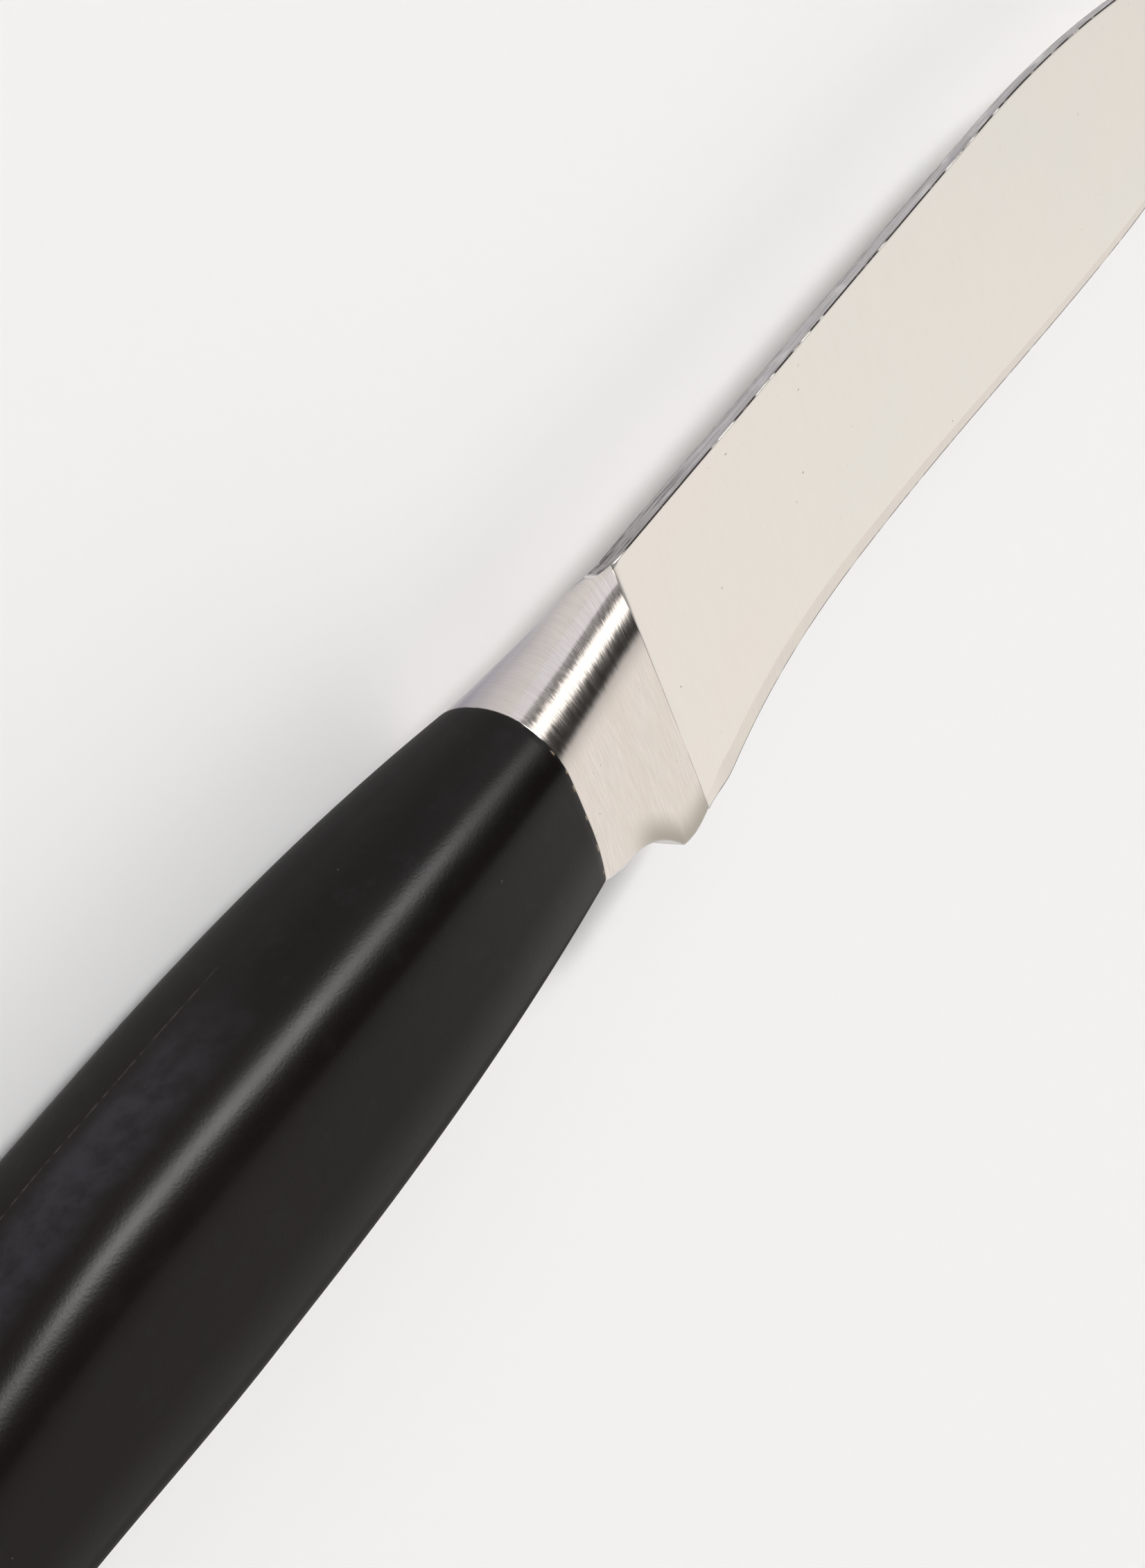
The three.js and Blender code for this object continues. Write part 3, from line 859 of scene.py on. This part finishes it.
def blade_spine_material():
    """Raw steel with drawn lines, worn and scored most near the bolster, with a painted highlight at the
    strip's rear end.
    """
    material, tree, shader = new_material("blade_raw_spine")
    drawn = stretched_noise(tree, (110, 3000, 9000), 4.0, 0.6)
    deep = stretched_noise(tree, (170, 2000, 3600), 3.0, 0.65)
    cloud = stretched_noise(tree, (300, 300, 900), 2.0)
    x, _, _ = axes(tree, knife_place(tree))
    base = mix_colour(tree, map_range(tree, drawn, 0.3, 0.7), SPINE_DARK, SPINE_LIGHT)
    paler = mix_colour(tree, map_range(tree, cloud, 0.5, 0.75, 0, 0.6), base, SPINE_PALE)
    worn = mix_colour(tree, map_range(tree, x, *SPINE_WEAR, 0.6, 0), paler, SPINE_WORN)
    marks = math_node(tree, "MULTIPLY", map_range(tree, deep, 0.5, 0.58),
                      map_range(tree, x, *SPINE_SCORING, 0.95, 0.25))
    scored = mix_colour(tree, marks, worn, SPINE_SCORE)
    # Painted highlight on the rounded rear end of the strip on the bolster
    end_highlighted = mix_colour(tree, map_range(tree, x, *STRIP_END_HIGHLIGHT, 0.9, 0), scored, SPINE_END_HIGHLIGHT)
    plug(tree, shader, Metallic=1.0, Base_Color=end_highlighted,
         Roughness=map_range(tree, drawn, 0.2, 0.8, 0.32, 0.5),
         Normal=bump(tree, deep, 0.35, 0.04 * MM))
    return material


def blade_corner_shade_material():
    """The sharp corners of the blade, with painted shade: dimmed steel and a broken dark line for their
    dark reflection.
    """
    material, tree, shader = new_material("blade_corner_shade")
    breaks = stretched_noise(tree, (420, 150, 150), 3.0)
    x, _, _ = axes(tree, knife_place(tree))
    # Painted shade: a broken dark line along the corners, fading in away from the bolster
    corner_shade = math_node(tree, "MULTIPLY", map_range(tree, breaks, 0.36, 0.5),
                     map_range(tree, x, *CORNER_SHADE_START))
    plug(tree, shader, Metallic=1.0, Base_Color=mix_colour(tree, corner_shade, CORNER_SHADE_LIGHT, CORNER_SHADE_DARK),
         Roughness=map_range(tree, breaks, 0.2, 0.8, 0.35, 0.5),
         Normal=bump(tree, breaks, 0.2, 0.02 * MM))
    return material


def bolster_top_shade(tree, x, z):
    """How much painted shade darkens the bolster's top: most along a line beside the ridge."""
    _, upward, _ = axes(tree, surface_normal(tree))
    thickness = map_range(tree, x, 0, BOLSTER_LENGTH, JOINT_THICKNESS, NOSE_THICKNESS, smooth=False)
    shift = map_range(tree, x, *TOP_SHADE_SHIFT_RUN, *TOP_SHADE_SHIFT, smooth=False)
    across = math_node(tree, "ADD", math_node(tree, "DIVIDE", z, thickness), shift)
    from_line = math_node(tree, "DIVIDE", math_node(tree, "ABSOLUTE", across), TOP_SHADE_REACH)
    fade = math_node(tree, "POWER", map_range(tree, from_line, 0, 1, 1, 0, smooth=False), TOP_SHADE_FADE_POWER)
    return math_node(tree, "MULTIPLY", map_range(tree, upward, *TOP_SHADE_FACING), fade)


def bolster_colour(tree, fine):
    """Brushed steel with painted shade on top and along the notch and spur, with a dark line at the blade.
    """
    cloud = stretched_noise(tree, (160, 130, 130), 2.0)
    specks = stretched_noise(tree, (2100, 2100, 2100), 1.0)
    breaks = stretched_noise(tree, (90, 260, 260), 3.0)
    x, _, z = axes(tree, knife_place(tree))
    base = mix_colour(tree, map_range(tree, fine, 0.3, 0.7), BOLSTER_DARK, BOLSTER_LIGHT)
    toned = mix_colour(tree, map_range(tree, cloud, 0.45, 0.75, 0, 0.35), base, BOLSTER_TAUPE)
    # Painted shade darkens the bolster's top along a line beside the ridge
    top_shaded = mix_colour(tree, bolster_top_shade(tree, x, z), toned, BOLSTER_TOP_SHADE)
    # Painted shade along the lower edge of the notch and the spur, darkest next to the edge
    over_edge = node(tree, "ShaderNodeAttribute", attribute_name=EDGE_HEIGHT).outputs["Fac"]
    shade = math_node(tree, "MULTIPLY", map_range(tree, over_edge, *NOTCH_SHADE_HEIGHT, 0.95, 0),
                      map_range(tree, x, *NOTCH_SHADE_RUN))
    shaded = mix_colour(tree, shade, top_shaded, BOLSTER_NOTCH_SHADE)
    line = math_node(tree, "MULTIPLY", map_range(tree, x, *NOSE_LINE),
                     map_range(tree, breaks, 0.42, 0.56, 0.1, 0.85))
    lined = mix_colour(tree, line, shaded, BOLSTER_LINE)
    return mix_colour(tree, map_range(tree, specks, 0.79, 0.82, 0, 0.8), lined, BOLSTER_SPECKS)


def brushed_normal(tree, fine):
    """Normal with each brushed line at its own slight angle, which frays reflections across the lines."""
    normal = surface_normal(tree)
    across = vector_node(tree, "CROSS_PRODUCT", {0: normal, 1: (1, 0, 0)})
    lean = map_range(tree, fine, 0, 1, -BRUSH_LEAN, BRUSH_LEAN, smooth=False)
    leaned = vector_node(tree, "SCALE", {0: across, "Scale": lean})
    return vector_node(tree, "NORMALIZE", {0: vector_node(tree, "ADD", {0: normal, 1: leaned})})


def bolster_material():
    material, tree, shader = new_material("bolster_brushed_steel")
    fine = stretched_noise(tree, (7000, 450, 450), 3.0)
    broad = stretched_noise(tree, (2200, 200, 200), 2.0)
    plug(tree, shader, Metallic=1.0, Base_Color=bolster_colour(tree, fine),
         Anisotropic=0.4, Anisotropic_Rotation=0.25,
         Roughness=map_range(tree, broad, 0.25, 0.75, 0.12, 0.17),
         Tangent=node(tree, "ShaderNodeTangent", direction_type="RADIAL", axis="X").outputs[0],
         Normal=brushed_normal(tree, fine))
    return material


def varied_plastic(tree, cloud, upward):
    """Black plastic, paler towards the rear, with smudges and a haze on the back of its right side."""
    smudges = stretched_noise(tree, (420, 600, 600), 4.0, 0.65)
    x, _, z = axes(tree, knife_place(tree))
    base = mix_colour(tree, map_range(tree, cloud, 0.35, 0.65), PLASTIC_DARK, PLASTIC_LIGHT)
    # Base colour turns paler towards the rear of the handle
    pale_rear = mix_colour(tree, map_range(tree, x, *REAR_PALING_RUN, 1, 0), base, PLASTIC_REAR_PALE)
    smudged = mix_colour(tree, map_range(tree, smudges, 0.5, 0.8, 0, 0.5), pale_rear, PLASTIC_SMUDGE)
    on_crown = math_node(tree, "MULTIPLY", map_range(tree, upward, *HAZE_FACING),
                         map_range(tree, z, *HAZE_ACROSS))
    worn = math_node(tree, "MULTIPLY", map_range(tree, x, *HAZE_RUN, 1, 0),
                     map_range(tree, smudges, 0.3, 0.65, 0.4, 1))
    return mix_colour(tree, math_node(tree, "MULTIPLY", on_crown, worn), smudged, PLASTIC_HAZE)


def handle_colour(tree, cloud, upward):
    """Plastic with dust, chips along its front edge and a broken painted highlight along the parting seam
    on its back.
    """
    specks = stretched_noise(tree, (1500, 1500, 1500), 1.0)
    chips = stretched_noise(tree, (900, 1300, 1300), 2.0)
    x, y, z = axes(tree, knife_place(tree))
    plastic = varied_plastic(tree, cloud, upward)
    dusty = mix_colour(tree, map_range(tree, specks, 0.81, 0.85, 0, 0.2), plastic, PLASTIC_DUST)
    edge_chips = math_node(tree, "MULTIPLY", map_range(tree, x, *CHIPS_RUN),
                           map_range(tree, chips, 0.58, 0.64, 0, 0.8))
    chipped = mix_colour(tree, edge_chips, dusty, PLASTIC_CHIP)
    # Painted highlight: a broken pale line along the parting seam on the back
    near_line = map_range(tree, math_node(tree, "ABSOLUTE", z), *SEAM_HIGHLIGHT_ACROSS, 1, 0)
    on_back = math_node(tree, "MULTIPLY", map_range(tree, y, *SEAM_HIGHLIGHT_UP),
                        map_range(tree, x, -PARTING_FULL, -PARTING_START, 1, 0))
    line = math_node(tree, "MULTIPLY", near_line, on_back)
    broken_seam_highlight = math_node(tree, "MULTIPLY", line, map_range(tree, chips, 0.4, 0.6, 0.1, 0.9))
    return mix_colour(tree, broken_seam_highlight, chipped, PLASTIC_SEAM_HIGHLIGHT)


def handle_material():
    """Moulded plastic that is duller on its back and underside than on its sides."""
    material, tree, shader = new_material("handle_black_plastic")
    grain = stretched_noise(tree, (4200, 4200, 4200), 3.0, 0.6)
    cloud = stretched_noise(tree, (120, 160, 160), 3.0)
    _, upward, _ = axes(tree, surface_normal(tree))
    dull = math_node(tree, "ADD", map_range(tree, upward, *BACK_FACING, 0, 0.3),
                     map_range(tree, upward, *UNDERSIDE_FACING, 0.4, 0))
    plug(tree, shader, Base_Color=handle_colour(tree, cloud, upward),
         Roughness=math_node(tree, "ADD", map_range(tree, cloud, 0.3, 0.7, 0.265, 0.295), dull),
         Specular_IOR_Level=0.12, Normal=bump(tree, grain, 0.45, 0.02 * MM))
    return material


def tang_material():
    material, tree, shader = new_material("tang_rolled_steel")
    drawn = stretched_noise(tree, (150, 3000, 3000), 3.0)
    colour = mix_colour(tree, map_range(tree, drawn, 0.3, 0.7), TANG_DARK, TANG_LIGHT)
    plug(tree, shader, Metallic=1.0, Base_Color=colour,
         Roughness=map_range(tree, drawn, 0.2, 0.8, 0.4, 0.55), Normal=bump(tree, drawn, 0.2, 0.03 * MM))
    return material


def adhesive_material():
    material, tree, shader = new_material("cured_adhesive")
    cloud = stretched_noise(tree, (500, 500, 500), 4.0)
    colour = mix_colour(tree, map_range(tree, cloud, 0.3, 0.7), ADHESIVE_DARK, ADHESIVE_LIGHT)
    plug(tree, shader, Base_Color=colour, Roughness=map_range(tree, cloud, 0.2, 0.8, 0.4, 0.6),
         Normal=bump(tree, cloud, 0.3, 0.05 * MM))
    return material


def floor_material():
    material, tree, shader = new_material("pale_floor")
    cloud = stretched_noise(tree, (3, 3, 3), 2.0)
    plug(tree, shader, Base_Color=mix_colour(tree, cloud, FLOOR_DARK, FLOOR_LIGHT), Roughness=0.9,
         Specular_IOR_Level=0.0)
    return material


def finish_piece(piece, slot, materials, *nodes):
    for index, material in enumerate(materials):
        if index < len(piece.data.materials):
            piece.data.materials[index] = material
        else:
            piece.data.materials.append(material)
    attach(piece, "root")
    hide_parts(*nodes)


def set_material(cad_node, material):
    cad_node.data.materials.clear()
    cad_node.data.materials.append(material)


def dress_knife():
    plastic = handle_material()
    steel = tang_material()
    adhesive = adhesive_material()
    raw_spine = blade_spine_material()
    blade = make_blade()
    soften(blade)
    finish_piece(blade, "blade_steel",
                 [blade_face_material(), blade_bevel_material(), raw_spine, blade_corner_shade_material()], "blade")
    bolster = make_bolster()
    soften(bolster)
    straighten_shoulder(bolster)
    finish_piece(bolster, "bolster_steel", [bolster_material(), raw_spine], "bolster")
    for side, hand in ((1, "right"), (-1, "left")):
        shell = make_shell(f"fine_{hand}_shell", side)
        soften(shell)
        finish_piece(shell, "handle_plastic", [plastic], f"{hand}_handle_shell")
    for name in ("tang", *PIN_NODES):
        set_material(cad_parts[name], steel)
    for name in BED_NODES:
        set_material(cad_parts[name], adhesive)


def make_floor():
    mesh = bpy.data.meshes.new("floor")
    edit = bmesh.new()
    bmesh.ops.create_circle(edit, cap_ends=True, radius=FLOOR_RADIUS, segments=FLOOR_SEGMENTS)
    edit.to_mesh(mesh)
    edit.free()
    floor = bpy.data.objects.new("floor", mesh)
    bpy.context.collection.objects.link(floor)
    mesh.materials.append(floor_material())


def sky_band(tree, value, start, end, soft):
    """1 between two angles in degrees, falling to 0 over a soft edge on both sides."""
    low, high, half = math.radians(start), math.radians(end), math.radians(soft) / 2
    rise = map_range(tree, value, low - half, low + half)
    fall = map_range(tree, value, high - half, high + half, 1, 0)
    return math_node(tree, "MULTIPLY", rise, fall)


def sky_patch(tree, azimuth, azimuth_band, elevation, elevation_band):
    return math_node(tree, "MULTIPLY", sky_band(tree, azimuth, *azimuth_band),
                     sky_band(tree, elevation, *elevation_band))


def sky_edge(tree, value, start, end, low=0, high=1):
    """Changes from low to high between two angles in degrees."""
    return map_range(tree, value, math.radians(start), math.radians(end), low, high)


def pale_sky(tree, azimuth, elevation):
    """Share of a pale horizon, which dips at the front and is dim on the far side, with a wing above it."""
    dip = math_node(tree, "MULTIPLY", sky_band(tree, azimuth, *DIP_AZIMUTH), math.radians(HORIZON_DIP))
    raised = math_node(tree, "ADD", elevation, dip)
    dimmed = map_range(tree, sky_band(tree, azimuth, *DIM_AZIMUTH), 0, 1, 1, DIM_SHARE, smooth=False)
    horizon = math_node(tree, "MULTIPLY", sky_edge(tree, raised, *HORIZON_EDGE, 1, 0), dimmed)
    wing = sky_patch(tree, azimuth, WING_AZIMUTH, elevation, WING_ELEVATION)
    return math_node(tree, "MAXIMUM", horizon, wing)


def streak(tree, azimuth, elevation):
    """Share and colour of a slanted streak of light that grows broader and brighter upwards."""
    over_foot = math_node(tree, "SUBTRACT", elevation, math.radians(STREAK_FOOT))
    upright = math_node(tree, "SUBTRACT", azimuth, math_node(tree, "MULTIPLY", over_foot, STREAK_SLANT))
    narrow = sky_patch(tree, upright, STREAK_NARROW, elevation, STREAK_NARROW_ELEVATION)
    broad = sky_patch(tree, upright, STREAK_BROAD, elevation, STREAK_BROAD_ELEVATION)
    glow = mix_colour(tree, sky_edge(tree, elevation, *STREAK_MIDDLE_EDGE),
                      STREAK_LOW_COLOUR, STREAK_MIDDLE_COLOUR)
    glow = mix_colour(tree, sky_edge(tree, elevation, *STREAK_HIGH_EDGE), glow, STREAK_HIGH_COLOUR)
    return math_node(tree, "MAXIMUM", narrow, broad), glow


def make_sky():
    """A studio as the steel sees it: a room with a dark sector, a pale horizon, a broad warm panel and a
    slanted streak of light."""
    world = bpy.data.worlds.new("studio")
    world.use_nodes = True
    bpy.context.scene.world = world
    tree = world.node_tree
    x, y, z = axes(tree, node(tree, "ShaderNodeTexCoord").outputs["Generated"])
    elevation = math_node(tree, "ARCSINE", z)
    azimuth = math_node(tree, "ARCTAN2", y, x)
    dark_sector = sky_patch(tree, azimuth, DARK_AZIMUTH, elevation, DARK_ELEVATION)
    colour = mix_colour(tree, dark_sector, ROOM_COLOUR, DARK_COLOUR)
    colour = mix_colour(tree, pale_sky(tree, azimuth, elevation), colour, HORIZON_COLOUR)
    panel = sky_patch(tree, azimuth, PANEL_AZIMUTH, elevation, PANEL_ELEVATION)
    colour = mix_colour(tree, panel, colour, PANEL_COLOUR)
    share, glow = streak(tree, azimuth, elevation)
    colour = mix_colour(tree, share, colour, glow)
    tree.links.new(colour, tree.nodes["Background"].inputs["Color"])


def make_lamp():
    light = bpy.data.lights.new("overhead", "AREA")
    light.shape = "DISK"
    light.size = LAMP_SIZE
    light.energy = LAMP_POWER
    lamp = bpy.data.objects.new("overhead", light)
    lamp.location = JOINT + LAMP_PLACE
    lamp.rotation_euler = LAMP_PLACE.to_track_quat("Z", "Y").to_euler()
    lamp.visible_glossy = False
    lamp.visible_camera = False
    bpy.context.collection.objects.link(lamp)


def make_camera():
    data = bpy.data.cameras.new("camera")
    data.sensor_width = SENSOR_WIDTH
    data.lens = SENSOR_WIDTH * FOCAL_PIXELS / max(PHOTO_WIDTH, PHOTO_HEIGHT)
    data.clip_start = CAMERA_NEAREST
    camera = bpy.data.objects.new("camera", data)
    flat = math.cos(CAMERA_ELEVATION)
    back = Vector((math.sin(CAMERA_AZIMUTH) * flat, -math.cos(CAMERA_AZIMUTH) * flat,
                   math.sin(CAMERA_ELEVATION)))
    level = Vector((math.cos(CAMERA_AZIMUTH), math.sin(CAMERA_AZIMUTH), 0))
    right = Matrix.Rotation(CAMERA_ROLL, 3, back) @ level
    up = back.cross(right)
    turn = Matrix((right, up, back)).transposed().to_4x4()
    camera.matrix_world = Matrix.Translation(JOINT + CAMERA_TARGET + back * CAMERA_DISTANCE) @ turn
    bpy.context.collection.objects.link(camera)
    bpy.context.scene.camera = camera


bpy.context.scene.view_settings.view_transform = "Standard"
dress_knife()
make_floor()
make_sky()
make_lamp()
make_camera()

bpy.context.view_layer.update()
